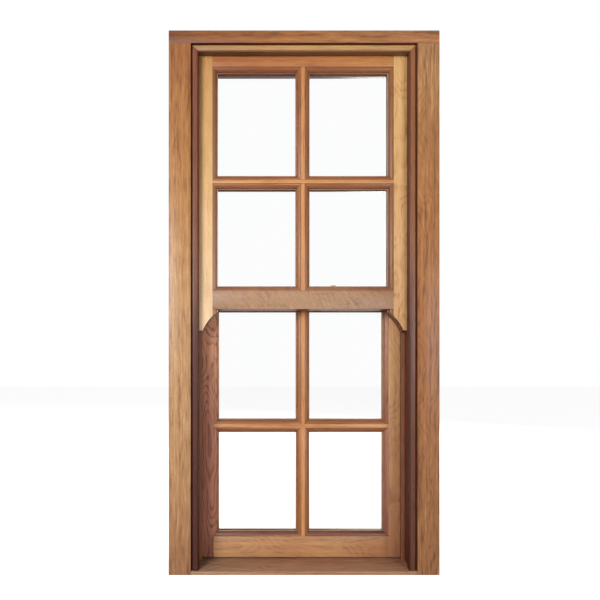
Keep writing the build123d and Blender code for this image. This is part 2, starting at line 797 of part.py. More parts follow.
def glazing_beads(y0, openings, grooved_low):
    """All beads of one sash. Panes that stand in the meeting rail's groove have none below them."""
    strips = []
    for x0, x1, z0, z1 in openings:
        in_groove = z0 == grooved_low
        for sight, out in ((x0, -1), (x1, 1)):
            strips.append(glazing_strip(y0, sight, out, z0, z1, True, (not in_groove, True)))
        strips.append(glazing_strip(y0, z1, 1, x0, x1, False, (True, True)))
        if not in_groove:
            strips.append(glazing_strip(y0, z0, -1, x0, x1, False, (True, True)))
    with BuildPart() as beads:
        for strip in strips:
            add(strip)
    return beads


def panes(y0, openings):
    hold = rebate_w - glass_edge_gap
    with BuildPart() as glass:
        for x0, x1, z0, z1 in openings:
            block(x0 - hold, x1 + hold, y0 + glass_depth, y0 + glass_depth + glass_t,
                  z0 - hold, z1 + hold)
    return glass


# Upper sash, in the outer track, with horns below its meeting rail

upper_openings = pane_openings(upper_sights, 0, upper_bar_z)
for side in (-1, 1):
    upper_stile = sash_stile(side, upper_y, horn_z, upper_top, upper_sights,
                             (upper_bottom, upper_top), upper_bar_z)
    horn_foot = (side * (sash_x - horn_flat), horn_z)
    horn_head = (side * sight_x, upper_bottom - horn_step)
    run, rise = horn_head[0] - horn_foot[0], horn_head[1] - horn_foot[1]
    chord = math.hypot(run, rise)
    belly = ((horn_foot[0] + horn_head[0]) / 2 + side * rise * horn_bulge / chord,
             (horn_foot[1] + horn_head[1]) / 2 + abs(run) * horn_bulge / chord)
    with upper_stile:
        with BuildSketch(Plane.XZ.offset(-(upper_y + sash_t))) as horn_curve:
            with BuildLine():
                ThreePointArc(horn_foot, belly, horn_head)
                Polyline(horn_head, (horn_head[0] - side * cut_over, horn_head[1]),
                         (horn_head[0] - side * cut_over, horn_z - cut_over),
                         (horn_foot[0], horn_z - cut_over), horn_foot)
            make_face()
        extrude(horn_curve.sketch, amount=sash_t, mode=Mode.SUBTRACT)
        add(upper_screws.part, mode=Mode.SUBTRACT)
    finish(upper_stile, f"upper_stile_{side_name(side)}")

upper_top_rail = sash_rail(upper_y, upper_sights[1], upper_top, 1, 0)
finish(upper_top_rail, "upper_top_rail")

upper_meeting_rail = sash_rail(upper_y, meet_z, upper_bottom, -1, 0, grooved=True)
with upper_meeting_rail:
    with BuildSketch(Plane.YZ.offset(-splay_x)) as upper_splay:
        with BuildLine():
            Polyline((upper_back, upper_bottom), (upper_back + splay_bottom - splay_gap / 2, upper_bottom),
                     (upper_back + splay_bottom - splay_gap / 2, meet_z - splay_h),
                     (upper_back + splay_top - splay_gap / 2, meet_z), (upper_back, meet_z), close=True)
        make_face()
    extrude(upper_splay.sketch, amount=2 * splay_x)
    add(upper_screws.part, mode=Mode.SUBTRACT)
finish(upper_meeting_rail, "upper_meeting_rail")

upper_bar_level, upper_bar_upright = sash_bars(upper_y, upper_sights, 0, upper_bar_z)
finish(upper_bar_level, "upper_bar_level")
finish(upper_bar_upright, "upper_bar_upright")
finish(panes(upper_y, upper_openings), "upper_panes")
finish(glazing_beads(upper_y, upper_openings, meet_z), "upper_glazing_beads")

# Lower sash, in the inner track

lower_openings = pane_openings(lower_sights, lower_bar_shift, lower_bar_z)
for side in (-1, 1):
    lower_stile = sash_stile(side, lower_y, lower_bottom, meet_z, lower_sights,
                             (lower_bottom, meet_z), lower_bar_z)
    with lower_stile:
        add(lower_screws.part, mode=Mode.SUBTRACT)
    finish(lower_stile, f"lower_stile_{side_name(side)}")

lower_bottom_rail = sash_rail(lower_y, lower_sights[0], lower_bottom, -1, lower_bar_shift)
with lower_bottom_rail:
    add(lower_screws.part, mode=Mode.SUBTRACT)
finish(lower_bottom_rail, "lower_bottom_rail")

lower_meeting_rail = sash_rail(lower_y, lower_sights[1], meet_z, 1, lower_bar_shift)
with lower_meeting_rail:
    with BuildSketch(Plane.YZ.offset(-splay_x)) as lower_splay:
        with BuildLine():
            Polyline((lower_y, meet_z), (upper_back + splay_top + splay_gap / 2, meet_z),
                     (upper_back + splay_bottom + splay_gap / 2, meet_z - splay_h),
                     (lower_y, meet_z - splay_h), close=True)
        make_face()
    extrude(lower_splay.sketch, amount=2 * splay_x)
    add(lower_screws.part, mode=Mode.SUBTRACT)
finish(lower_meeting_rail, "lower_meeting_rail")

lower_bar_level, lower_bar_upright = sash_bars(lower_y, lower_sights, lower_bar_shift, lower_bar_z)
finish(lower_bar_level, "lower_bar_level")
finish(lower_bar_upright, "lower_bar_upright")
finish(panes(lower_y, lower_openings), "lower_panes")
finish(glazing_beads(lower_y, lower_openings, None), "lower_glazing_beads")
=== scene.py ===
import bmesh
import bpy
import json
import math
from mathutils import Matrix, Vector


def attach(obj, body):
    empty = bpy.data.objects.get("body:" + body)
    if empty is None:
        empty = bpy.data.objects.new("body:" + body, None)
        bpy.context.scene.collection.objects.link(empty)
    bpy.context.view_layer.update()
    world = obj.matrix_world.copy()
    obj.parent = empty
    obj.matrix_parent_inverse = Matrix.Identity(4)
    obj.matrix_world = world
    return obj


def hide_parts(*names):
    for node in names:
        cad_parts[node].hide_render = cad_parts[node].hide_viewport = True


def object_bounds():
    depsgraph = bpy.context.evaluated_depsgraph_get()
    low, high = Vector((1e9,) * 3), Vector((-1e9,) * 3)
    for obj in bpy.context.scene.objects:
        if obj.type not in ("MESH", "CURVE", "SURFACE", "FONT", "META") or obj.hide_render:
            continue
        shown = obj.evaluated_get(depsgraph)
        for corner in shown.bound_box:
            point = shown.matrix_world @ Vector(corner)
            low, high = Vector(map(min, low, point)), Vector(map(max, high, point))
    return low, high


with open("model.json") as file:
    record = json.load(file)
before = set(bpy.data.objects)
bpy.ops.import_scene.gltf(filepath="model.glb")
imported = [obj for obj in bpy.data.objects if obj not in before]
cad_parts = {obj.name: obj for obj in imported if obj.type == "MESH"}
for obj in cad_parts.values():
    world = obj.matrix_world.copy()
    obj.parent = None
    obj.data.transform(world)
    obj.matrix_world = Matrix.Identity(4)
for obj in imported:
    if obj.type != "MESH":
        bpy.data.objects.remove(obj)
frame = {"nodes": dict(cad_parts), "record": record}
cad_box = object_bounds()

# Outer lining: three flat boards of clear-finished hardwood that face the street, the head board
# laid across the tops of the two uprights. They are planed, sanded, nailed to the box of the jambs
# and given a satin varnish, which shows the fine pores and the slow change of colour along a board.


def srgb(red, green, blue):
    """A colour as read on a screen, 0 to 255, as the linear values that a shader wants."""
    def linear(level):
        share = level / 255
        return share / 12.92 if share <= 0.04045 else ((share + 0.055) / 1.055) ** 2.4
    return linear(red), linear(green), linear(blue), 1.0


def shader_node(tree, kind, links=None, **settings):
    """A node of that kind. Its settings are properties. Its links give each socket, by its name or
    number, another node's output or a plain value."""
    made = tree.nodes.new("ShaderNode" + kind)
    for name, value in settings.items():
        setattr(made, name, value)
    for name, value in (links or {}).items():
        socket = made.inputs[name]
        if isinstance(value, bpy.types.NodeSocket):
            tree.links.new(value, socket)
        else:
            socket.default_value = value
    return made


def noise(tree, vector, stretch, detail=2.0, roughness=0.5, distortion=0.0):
    """Noise with so many features per metre across, across and along the grain."""
    placed = shader_node(tree, "Mapping", {"Vector": vector, "Scale": stretch})
    return shader_node(tree, "TexNoise", {
        "Vector": placed.outputs["Vector"], "Scale": 1.0, "Detail": detail,
        "Roughness": roughness, "Distortion": distortion}).outputs["Fac"]


def between(tree, value, low, high, to_low=0.0, to_high=1.0):
    """Value taken from one range to another, smoothly and held at the ends."""
    return shader_node(tree, "MapRange", {
        "Value": value, "From Min": low, "From Max": high, "To Min": to_low, "To Max": to_high},
        interpolation_type="SMOOTHSTEP").outputs["Result"]


def calculated(tree, operation, first, second=0.0):
    """One step of arithmetic on values or plain numbers."""
    return shader_node(tree, "Math", {0: first, 1: second}, operation=operation).outputs["Value"]


def mixed(tree, share, first, second, blend="MIX"):
    """That share of the second colour over the first. A Mix node has a set of sockets with the same
    names for each kind of value, so the ones for colours go by number."""
    made = shader_node(tree, "Mix", {0: share, 6: first, 7: second}, data_type="RGBA", blend_type=blend)
    return made.outputs[2]


def new_group(name, inputs, outputs):
    """An empty node group with those sockets, and the two nodes that hold its ends."""
    tree = bpy.data.node_groups.new(name, "ShaderNodeTree")
    for label, kind, value in inputs:
        socket = tree.interface.new_socket(name=label, in_out="INPUT", socket_type="NodeSocket" + kind)
        if value is not None:
            socket.default_value = value
    for label, kind in outputs:
        tree.interface.new_socket(name=label, in_out="OUTPUT", socket_type="NodeSocket" + kind)
    return tree, tree.nodes.new("NodeGroupInput"), tree.nodes.new("NodeGroupOutput")


log_wander = 0.016
ring_waver = 0.002
curl_slant = math.radians(38.0)
pore_shadow = srgb(62, 32, 20)


def hardwood_group():
    """The figure of the timber, with the grain along Z of both vectors, in metres. Vector picks the
    stretch of timber that the streaks come from. Board is the piece's own place, for its rings."""
    tree, given, result = new_group(
        "hardwood_figure",
        [("Vector", "Vector", None), ("Board", "Vector", None), ("Heart", "Vector", None),
         ("Pale", "Color", None), ("Middle", "Color", None), ("Dark", "Color", None),
         ("Rings", "Float", 0.3), ("Ring Spacing", "Float", 0.009), ("Streaks", "Float", 0.5),
         ("Pores", "Float", 0.5), ("Curl", "Float", 0.0)],
        [("Color", "Color"), ("Roughness", "Float"), ("Height", "Float")])
    vector = given.outputs["Vector"]
    slow = noise(tree, vector, (7.0, 7.0, 2.6))
    long_streak = noise(tree, vector, (95.0, 95.0, 1.3), detail=3.0, roughness=0.6, distortion=0.3)
    short_streak = noise(tree, vector, (170.0, 170.0, 17.0), roughness=0.6)
    fibre = noise(tree, vector, (820.0, 820.0, 13.0), detail=3.0, roughness=0.6)
    pore = noise(tree, vector, (1500.0, 1500.0, 120.0), detail=1.0)
    blotch = noise(tree, vector, (20.0, 20.0, 7.0))

    # Growth rings lie round the heart of the log, and the way it wanders gives the pointed arches
    offset = shader_node(tree, "VectorMath", {0: given.outputs["Board"], 1: given.outputs["Heart"]},
                         operation="SUBTRACT")
    split = shader_node(tree, "SeparateXYZ", {"Vector": offset.outputs["Vector"]})
    waver = between(tree, blotch, 0.3, 0.7, -ring_waver, ring_waver)
    across = calculated(tree, "ADD", split.outputs["X"], waver)
    wander = between(tree, slow, 0.3, 0.7, -log_wander, log_wander)
    depth = calculated(tree, "ADD", split.outputs["Y"], wander)
    across = calculated(tree, "MULTIPLY", across, across)
    depth = calculated(tree, "MULTIPLY", depth, depth)
    radius = calculated(tree, "SQRT", calculated(tree, "ADD", across, depth))
    ring = calculated(tree, "FRACT", calculated(tree, "DIVIDE", radius, given.outputs["Ring Spacing"]))
    late = calculated(tree, "MULTIPLY", between(tree, ring, 0.35, 0.9), between(tree, ring, 1.0, 0.92))

    # A curly board has soft wavy bars that cross the grain aslant
    aslant = shader_node(tree, "Mapping", {"Vector": vector, "Rotation": (0.0, curl_slant, 0.0)})
    curl = noise(tree, aslant.outputs["Vector"], (26.0, 26.0, 105.0), distortion=1.6)

    # All the patterns add up to one value, which picks a colour between dark, middle and pale
    value = between(tree, blotch, 0.25, 0.75, 0.42, 0.58)
    for pattern, amount in ((long_streak, given.outputs["Streaks"]),
                            (short_streak, given.outputs["Streaks"]),
                            (curl, given.outputs["Curl"])):
        centred = calculated(tree, "SUBTRACT", pattern, 0.5)
        value = calculated(tree, "ADD", value, calculated(tree, "MULTIPLY", centred, amount))
    value = calculated(tree, "ADD", value, between(tree, fibre, 0.25, 0.75, -0.09, 0.09))
    value = calculated(tree, "SUBTRACT", value, calculated(tree, "MULTIPLY", late, given.outputs["Rings"]))

    low = mixed(tree, between(tree, value, 0.05, 0.5), given.outputs["Dark"], given.outputs["Middle"])
    wood = mixed(tree, between(tree, value, 0.5, 0.95), low, given.outputs["Pale"])
    open_pore = between(tree, pore, 0.60, 0.70)
    wood = mixed(tree, calculated(tree, "MULTIPLY", open_pore, given.outputs["Pores"]), wood,
                 mixed(tree, 0.6, given.outputs["Dark"], pore_shadow))
    tree.links.new(wood, result.inputs["Color"])
    tree.links.new(between(tree, fibre, 0.2, 0.8, 0.36, 0.54), result.inputs["Roughness"])
    height = calculated(tree, "SUBTRACT", calculated(tree, "MULTIPLY", fibre, 0.35), open_pore)
    tree.links.new(height, result.inputs["Height"])
    return tree


hardwood = hardwood_group()
varnish_tint = (0.74, 0.64, 0.51)
# Painted shade: the share of colour left on faces turned from the front
painted_side_shade = (0.43, 0.32, 0.34)
varnish_coat = 0.12
varnish_coat_roughness = 0.3
varnish_specular = 0.34
grain_relief = 0.00016
grain_bump = 0.6
next_board = (0.37, 0.23, 1.71)
boards_cut = 0


def timber(name, along, pale, middle, dark, rings=0.16, spacing=0.0045, streaks=0.55, pores=0.35,
           curl=0.0, heart=(0.31, 0.14), drift=(), edge=painted_side_shade):
    """A varnished board with its grain along X or Z. Heart is where the middle of its log lies, as
    the place across the grain and the depth. Drift gives places along the board, in metres, and the
    colour of the change there, as a share of the board's own; it holds the board's change of tone
    and, on some boards, painted light and shade. Edge is such a share for its mouldings, rounds and
    edges, and is painted shade there. Each new board is cut from another stretch of timber, so that
    no two have the same grain."""
    global boards_cut
    boards_cut += 1
    material = bpy.data.materials.new(name)
    material.use_nodes = True
    tree = material.node_tree
    surface = tree.nodes["Principled BSDF"]
    place = shader_node(tree, "TexCoord").outputs["Object"]
    turn = (0.0, math.radians(-90.0), 0.0) if along == "X" else (0.0, 0.0, 0.0)
    laid = shader_node(tree, "Mapping", {"Vector": place, "Rotation": turn})
    moved = shader_node(tree, "Mapping", {
        "Vector": laid.outputs["Vector"], "Location": [step * boards_cut for step in next_board]})
    wood = tree.nodes.new("ShaderNodeGroup")
    wood.node_tree = hardwood
    tree.links.new(moved.outputs["Vector"], wood.inputs["Vector"])
    tree.links.new(laid.outputs["Vector"], wood.inputs["Board"])
    for label, value in (("Heart", (*heart, 0.0)), ("Rings", rings), ("Ring Spacing", spacing),
                         ("Streaks", streaks), ("Pores", pores), ("Curl", curl)):
        wood.inputs[label].default_value = value
    for label, bare in (("Pale", pale), ("Middle", middle), ("Dark", dark)):
        under_varnish = [level * share for level, share in zip(bare, varnish_tint)]
        wood.inputs[label].default_value = (*under_varnish, 1.0)
    colour = wood.outputs["Color"]
    if drift:
        spot = shader_node(tree, "SeparateXYZ", {"Vector": place}).outputs[along]
        lowest, highest = drift[0][0], drift[-1][0]
        share = shader_node(tree, "MapRange", {"Value": spot, "From Min": lowest, "From Max": highest})
        change = shader_node(tree, "ValToRGB", {"Fac": share.outputs["Result"]})
        stops = change.color_ramp.elements
        while len(stops) < len(drift):
            stops.new(0.5)
        for stop, (where, shade) in zip(stops, drift):
            stop.position = (where - lowest) / (highest - lowest)
            stop.color = (*shade, 1.0)
        colour = mixed(tree, 1.0, colour, change.outputs["Color"], "MULTIPLY")
    # Faces turned from the front are multiplied by the edge share, which is painted shade on mouldings,
    # rounds and sides
    turned = shader_node(tree, "Attribute", attribute_name="turned").outputs["Fac"]
    side_shaded = mixed(tree, 1.0, colour, (*edge, 1.0), "MULTIPLY")
    colour = mixed(tree, turned, colour, side_shaded)
    tree.links.new(colour, surface.inputs["Base Color"])
    tree.links.new(wood.outputs["Roughness"], surface.inputs["Roughness"])
    bump = shader_node(tree, "Bump", {
        "Height": wood.outputs["Height"], "Strength": grain_bump, "Distance": grain_relief})
    tree.links.new(bump.outputs["Normal"], surface.inputs["Normal"])
    surface.inputs["Coat Weight"].default_value = varnish_coat
    surface.inputs["Coat Roughness"].default_value = varnish_coat_roughness
    surface.inputs["Specular IOR Level"].default_value = varnish_specular
    return material


def select_only(piece):
    """Selects one piece and nothing else, so that an operator acts on it alone."""
    bpy.ops.object.select_all(action="DESELECT")
    piece.select_set(True)
    bpy.context.view_layer.objects.active = piece


weld_distance = 1e-5
flat_within = math.radians(0.4)
sharp_beyond = math.radians(38.0)
smooth_within = math.radians(32.0)


def eased_copy(node, arris, steps):
    """A copy of a node's mesh, merged to true faces, with its sharp edges eased by that much."""
    piece = bpy.data.objects.new(node + "_finished", frame["nodes"][node].data.copy())
    bpy.context.scene.collection.objects.link(piece)
    select_only(piece)
    if piece.data.has_custom_normals:
        bpy.ops.mesh.customdata_custom_splitnormals_clear()
    bpy.ops.object.mode_set(mode="EDIT")
    bpy.ops.mesh.select_all(action="SELECT")
    bpy.ops.mesh.remove_doubles(threshold=weld_distance)
    bpy.ops.mesh.dissolve_limited(angle_limit=flat_within)
    bpy.ops.object.mode_set(mode="OBJECT")
    ease = piece.modifiers.new("ease", "BEVEL")
    ease.width = arris
    ease.segments = steps
    ease.limit_method = "ANGLE"
    ease.angle_limit = sharp_beyond
    bpy.ops.object.modifier_apply(modifier="ease")
    bpy.ops.object.shade_smooth_by_angle(angle=smooth_within)
    return piece


node_bodies = {}
for body_name, members in frame["record"]["behaviour"]["bodies"].items():
    for member in members:
        node_bodies[member] = body_name

# Faces that turn from the front get painted shade, a little on curves and most on sides
flat_front = 0.9995
shade_on_curves = 0.8
more_on_sides = 0.2


def painted_shade_share(face):
    """How much painted shade a face has: none on a flat front or back, and most on a side."""
    facing = abs(face.normal.y)
    if facing >= flat_front:
        return 0.0
    return shade_on_curves + more_on_sides * (1 - facing)


def finished(node, material, arris, steps=2, side_shade_kept=1.0):
    """The eased copy stands for its node, in this finish, and moves with the same body. Its last
    argument is how much of the painted shade on its curves and sides it keeps, and 1 is all of it."""
    piece = eased_copy(node, arris, steps)
    # Each face keeps its share of painted shade in the turned attribute
    turned = piece.data.attributes.new("turned", "FLOAT", "FACE")
    turned.data.foreach_set("value", [side_shade_kept * painted_shade_share(face) for face in piece.data.polygons])
    piece.data.materials.clear()
    piece.data.materials.append(material)
    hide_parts(node)
    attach(piece, node_bodies[node])
    return piece


lining_arris = 0.0008
head_board = timber("head_board", "X", srgb(186, 126, 84), srgb(158, 100, 66), srgb(112, 66, 42),
                    streaks=1.05, pores=0.45,
                    drift=((-0.45, (0.5, 0.46, 0.36)), (-0.27, (0.83, 0.86, 0.71)),
                           (0.05, (1.26, 1.56, 1.46)), (0.27, (1.18, 1.53, 1.64)),
                           (0.45, (1.45, 1.85, 2.1))))
left_board = timber("left_board", "Z", srgb(226, 180, 138), srgb(196, 146, 106), srgb(146, 98, 66),
                    streaks=1.1, pores=0.65,
                    drift=((0.0, (0.68, 0.68, 0.75)), (0.35, (0.92, 1.08, 1.19)), (0.78, (0.95, 1.15, 1.26)),
                           (1.21, (0.85, 0.88, 0.7)), (1.76, (0.68, 0.58, 0.46))))
right_board = timber("right_board", "Z", srgb(198, 146, 104), srgb(166, 114, 78), srgb(118, 74, 48),
                     streaks=1.1, pores=0.6,
                     drift=((0.0, (0.9, 1.0, 1.03)), (0.35, (0.93, 0.98, 0.91)), (0.76, (0.93, 0.85, 0.58)),
                            (1.0, (1.01, 1.02, 0.8)), (1.43, (0.98, 1.1, 1.08)), (1.76, (1.18, 1.52, 1.72))))
for place, board in (("head", head_board), ("left", left_board), ("right", right_board)):
    finished(f"outer_lining_{place}", board, lining_arris)

# Jamb liners, head liner and back linings: the boards of the box that the sashes run in. The liners
# are smooth, and their faces in the tracks are darkened by painted shade, the right one less so.
# The thin back linings close the box towards the wall.

liner_arris = 0.0004
track_colours = srgb(154, 88, 64), srgb(126, 66, 50), srgb(88, 42, 32)
track_board = timber("track_board", "Z", *track_colours, streaks=0.6)
track_head = timber("track_head", "X", *track_colours, streaks=0.6)
back_board = timber("back_board", "Z", srgb(186, 140, 102), srgb(158, 112, 80), srgb(118, 78, 54),
                    streaks=0.7)
# The right liner keeps less of its painted shade than the left
for side, side_shade_kept in (("left", 1.0), ("right", 0.65)):
    finished(f"jamb_liner_{side}", track_board, liner_arris, side_shade_kept=side_shade_kept)
    finished(f"back_lining_{side}", back_board, liner_arris)
finished("head_liner", track_head, liner_arris)

# Inner lining: the same three boards towards the room, nailed to the box of the jambs in the same
# way and varnished. All three are of one even colour.

inner_colours = srgb(206, 156, 114), srgb(176, 124, 88), srgb(126, 82, 56)
inner_head = timber("inner_head", "X", *inner_colours)
inner_board = timber("inner_board", "Z", *inner_colours)
finished("inner_lining_head", inner_head, lining_arris)
for side in ("left", "right"):
    finished(f"inner_lining_{side}", inner_board, lining_arris)

# Sill: one sloping hardwood board between the linings, whose thin nose shows below the slope. It
# gets much weaker painted shade than the uprights, so its slope and nose are hardly darkened.

sill_arris = 0.001
sill_board = timber("sill_board", "X", srgb(220, 178, 142), srgb(188, 144, 115), srgb(126, 88, 68),
                    streaks=0.8, edge=(0.86, 0.82, 0.88),
                    drift=((-0.44, (0.8, 1.0, 1.2)), (-0.1, (0.94, 0.98, 1.0)), (0.44, (0.84, 0.88, 0.94))))
finished("sill", sill_board, sill_arris)

# Outer beads: a ring of three, mitred at the head, that holds the upper sash in its track. Each has
# one rounded edge and a quirk against the lining, which reads as a dark line.

bead_arris = 0.0004
outer_bead_head = timber("outer_bead_head_wood", "X", srgb(214, 166, 122), srgb(184, 132, 94),
                         srgb(128, 84, 58), drift=((-0.36, (0.84, 1.05, 0.98)), (-0.13, (1.04, 1.36, 1.35)),
                                                   (0.1, (1.14, 1.54, 1.47)), (0.36, (1.17, 1.5, 1.42))))
# The upright beads are painted much darker along their lower parts, beside the lower sash: painted shade
outer_bead_left = timber("outer_bead_left_wood", "Z", srgb(176, 124, 96), srgb(146, 96, 74),
                         srgb(102, 62, 46), drift=((0.0, (0.34, 0.22, 0.24)), (0.8, (0.4, 0.27, 0.3)),
                                                   (1.0, (0.84, 0.76, 0.72)), (1.76, (0.84, 0.75, 0.7))))
outer_bead_right = timber("outer_bead_right_wood", "Z", srgb(190, 136, 100), srgb(160, 110, 80),
                          srgb(112, 72, 52), drift=((0.0, (0.4, 0.33, 0.4)), (0.85, (0.45, 0.34, 0.38)),
                                                    (1.1, (0.79, 0.75, 0.74)), (1.76, (0.84, 0.8, 0.77))))
for place, bead in (("head", outer_bead_head), ("left", outer_bead_left), ("right", outer_bead_right)):
    finished(f"outer_bead_{place}", bead, bead_arris)

# Parting beads: thin strips let into the liners between the two tracks, held dry so that they can
# be pulled out when a sash has to come out.

parting_colours = srgb(182, 132, 98), srgb(152, 104, 76), srgb(106, 68, 48)
parting_upright = timber("parting_upright", "Z", *parting_colours)
parting_level = timber("parting_level", "X", *parting_colours)
finished("parting_bead_head", parting_level, bead_arris)
for side in ("left", "right"):
    finished(f"parting_bead_{side}", parting_upright, bead_arris)

# Staff beads: the ring of four that closes the inner track towards the room. They are of the same
# hardwood, rounded on the edge that hands touch, and come off first when a sash is taken out.

staff_colours = srgb(204, 154, 112), srgb(172, 122, 86), srgb(120, 78, 54)
staff_upright = timber("staff_upright", "Z", *staff_colours)
staff_level = timber("staff_level", "X", *staff_colours)
for place in ("head", "sill"):
    finished(f"staff_bead_{place}", staff_level, bead_arris)
for side in ("left", "right"):
    finished(f"staff_bead_{side}", staff_upright, bead_arris)

# Upper sash: stiles that run on into horns, a top rail and a meeting rail between them, all with
# the same moulded edge. It is the lightest timber of the window, and its meeting rail is a curly one.

sash_arris = 0.0005
# The left stile is painted paler towards its foot, which is painted light; the edge shares of all four
# members are painted shade on their mouldings
upper_left_stile = timber("upper_left_stile", "Z", srgb(244, 204, 162), srgb(216, 168, 118),
                          srgb(166, 116, 76), pores=0.45, streaks=0.35, edge=(0.29, 0.17, 0.2),
                          drift=((0.81, (1.5, 2.15, 3.5)), (1.3, (1.12, 1.36, 1.55)),
                                 (1.75, (0.84, 0.84, 0.76))))
upper_right_stile = timber("upper_right_stile", "Z", srgb(246, 213, 164), srgb(218, 177, 127),
                           srgb(164, 114, 74), pores=0.45, streaks=0.45, edge=(0.235, 0.1, 0.095),
                           drift=((0.81, (0.88, 0.88, 0.97)), (1.75, (1.05, 1.12, 1.16))))
upper_top = timber("upper_top", "X", srgb(214, 152, 104), srgb(186, 124, 80), srgb(134, 82, 52),
                   streaks=0.6, edge=(0.42, 0.29, 0.23),
                   drift=((-0.3, (0.86, 0.84, 0.82)), (0.0, (1.0, 1.08, 1.1)), (0.28, (1.12, 1.32, 1.34))))
upper_meeting = timber("upper_meeting", "X", srgb(206, 174, 148), srgb(177, 143, 118),
                       srgb(122, 86, 70), curl=0.85, streaks=0.2, rings=0.06, pores=0.2,
                       edge=(0.68, 0.49, 0.45),
                       drift=((-0.32, (0.68, 0.6, 0.54)), (-0.17, (1.02, 1.02, 1.01)),
                              (-0.02, (1.0, 1.06, 1.14)), (0.14, (0.98, 1.02, 1.04)),
                              (0.31, (0.76, 0.68, 0.6))))
finished("upper_stile_left", upper_left_stile, sash_arris)
finished("upper_stile_right", upper_right_stile, sash_arris)
finished("upper_top_rail", upper_top, sash_arris)
finished("upper_meeting_rail", upper_meeting, sash_arris)

# Lower sash: its stiles stand in the shade of the outer beads and are darker, with pointed arches
# in the grain of the left one. The bottom rail is the widest member, so that it lasts near the sill.

# Their moulded edges, and the bottom rail's most of all, carry painted shade through their edge shares
lower_left_stile = timber("lower_left_stile", "Z", srgb(238, 174, 140), srgb(200, 136, 109),
                          srgb(114, 72, 59), rings=0.28, spacing=0.005, heart=(-0.318, 0.05),
                          edge=(0.78, 0.82, 0.62),
                          drift=((0.05, (0.7, 0.7, 0.92)), (0.2, (0.88, 0.88, 1.06)),
                                 (0.5, (0.88, 0.86, 1.06)), (0.75, (1.22, 1.42, 1.64)),
                                 (0.96, (1.22, 1.42, 1.64))))
lower_right_stile = timber("lower_right_stile", "Z", srgb(224, 180, 133), srgb(194, 144, 107),
                           srgb(130, 88, 66), edge=(0.47, 0.32, 0.42),
                           drift=((0.05, (0.78, 0.75, 0.86)), (0.28, (1.04, 1.1, 1.2)),
                                  (0.42, (0.98, 1.02, 1.1)), (0.65, (1.15, 1.35, 1.4)),
                                  (0.96, (1.14, 1.32, 1.42))))
lower_bottom = timber("lower_bottom", "X", srgb(226, 180, 139), srgb(194, 149, 111), srgb(128, 88, 66),
                      rings=0.12, spacing=0.005, heart=(-0.06, 0.09), edge=(0.23, 0.14, 0.27),
                      drift=((-0.3, (1.02, 1.12, 1.22)), (-0.03, (0.92, 0.9, 0.9)),
                             (0.12, (0.99, 1.01, 0.99)), (0.3, (0.79, 0.69, 0.68))))
lower_meeting = timber("lower_meeting", "X", srgb(204, 156, 116), srgb(174, 124, 90), srgb(124, 80, 56))
finished("lower_stile_left", lower_left_stile, sash_arris)
finished("lower_stile_right", lower_right_stile, sash_arris)
finished("lower_bottom_rail", lower_bottom, sash_arris)
finished("lower_meeting_rail", lower_meeting, sash_arris)

# Glazing bars: slim members halved over each other where they cross, the level one unbroken in
# front. Their flat middle strip is a golden stripe between the two moulded sides.

# The moulded sides of the bars are darkened by painted shade through their edge shares
bar_level = timber("bar_level_wood", "X", srgb(238, 188, 134), srgb(210, 156, 106), srgb(152, 102, 68),
                   edge=(0.36, 0.24, 0.26))
bar_upright = timber("bar_upright_wood", "Z", srgb(240, 190, 136), srgb(210, 156, 106), srgb(148, 98, 66),
                     edge=(0.42, 0.31, 0.34))
for sash in ("upper", "lower"):
    finished(f"{sash}_bar_level", bar_level, sash_arris)
    finished(f"{sash}_bar_upright", bar_upright, sash_arris)

# Glazing beads: mitred hardwood strips behind each pane, with a splayed face towards the room and
# held by small bronzed panel pins. The strips of one sash are one node, so each gets the grain that
# runs along it.

strip_arris = 0.0003
strip_colours = srgb(208, 158, 114), srgb(178, 126, 90), srgb(126, 82, 56)
strip_upright = timber("strip_upright", "Z", *strip_colours)
strip_level = timber("strip_level", "X", *strip_colours)


def faces_of_islands(mesh):
    """The faces of a mesh as lists, one for each loose part."""
    work = bmesh.new()
    work.from_mesh(mesh)
    work.faces.ensure_lookup_table()
    seen, islands = set(), []
    for start in work.faces:
        if start.index in seen:
            continue
        seen.add(start.index)
        island, waiting = [], [start]
        while waiting:
            face = waiting.pop()
            island.append(face.index)
            for edge in face.edges:
                for near in edge.link_faces:
                    if near.index not in seen:
                        seen.add(near.index)
                        waiting.append(near)
        islands.append(island)
    work.free()
    return islands


dull_patches = 0.35
dull_roughness = 0.2
mark_bump = 0.25
mark_relief = 0.00005


def metal(name, bright, dull, rough_low, rough_high, marks_per_metre=(720.0, 720.0, 720.0)):
    """A worked metal: fine marks, long in the direction it was drawn, and duller patches."""
    material = bpy.data.materials.new(name)
    material.use_nodes = True
    tree = material.node_tree
    surface = tree.nodes["Principled BSDF"]
    place = shader_node(tree, "TexCoord").outputs["Object"]
    patch = noise(tree, place, (70.0, 70.0, 70.0), detail=3.0, roughness=0.6)
    marks = noise(tree, place, marks_per_metre, roughness=0.6)
    age = calculated(tree, "MULTIPLY", between(tree, patch, 0.45, 0.75), dull_patches)
    tree.links.new(mixed(tree, age, bright, dull), surface.inputs["Base Color"])
    rough = calculated(tree, "ADD", between(tree, marks, 0.3, 0.7, rough_low, rough_high),
                       calculated(tree, "MULTIPLY", age, dull_roughness))
    tree.links.new(rough, surface.inputs["Roughness"])
    bump = shader_node(tree, "Bump", {"Height": marks, "Strength": mark_bump, "Distance": mark_relief})
    tree.links.new(bump.outputs["Normal"], surface.inputs["Normal"])
    surface.inputs["Metallic"].default_value = 1.0
    return material


pin_metal = metal("bronzed_pin", srgb(150, 104, 66), srgb(84, 56, 40), 0.35, 0.5)
pin_head_radius = 0.0009
pin_head_depth = 0.0008
pin_head_sides = 14
pin_rim = 0.35 * pin_head_radius
pin_dish = 0.3 * pin_head_depth
pin_stands_proud = 0.0001
pin_spacing = 0.11
in_the_room = cad_box[1][1] + 0.05


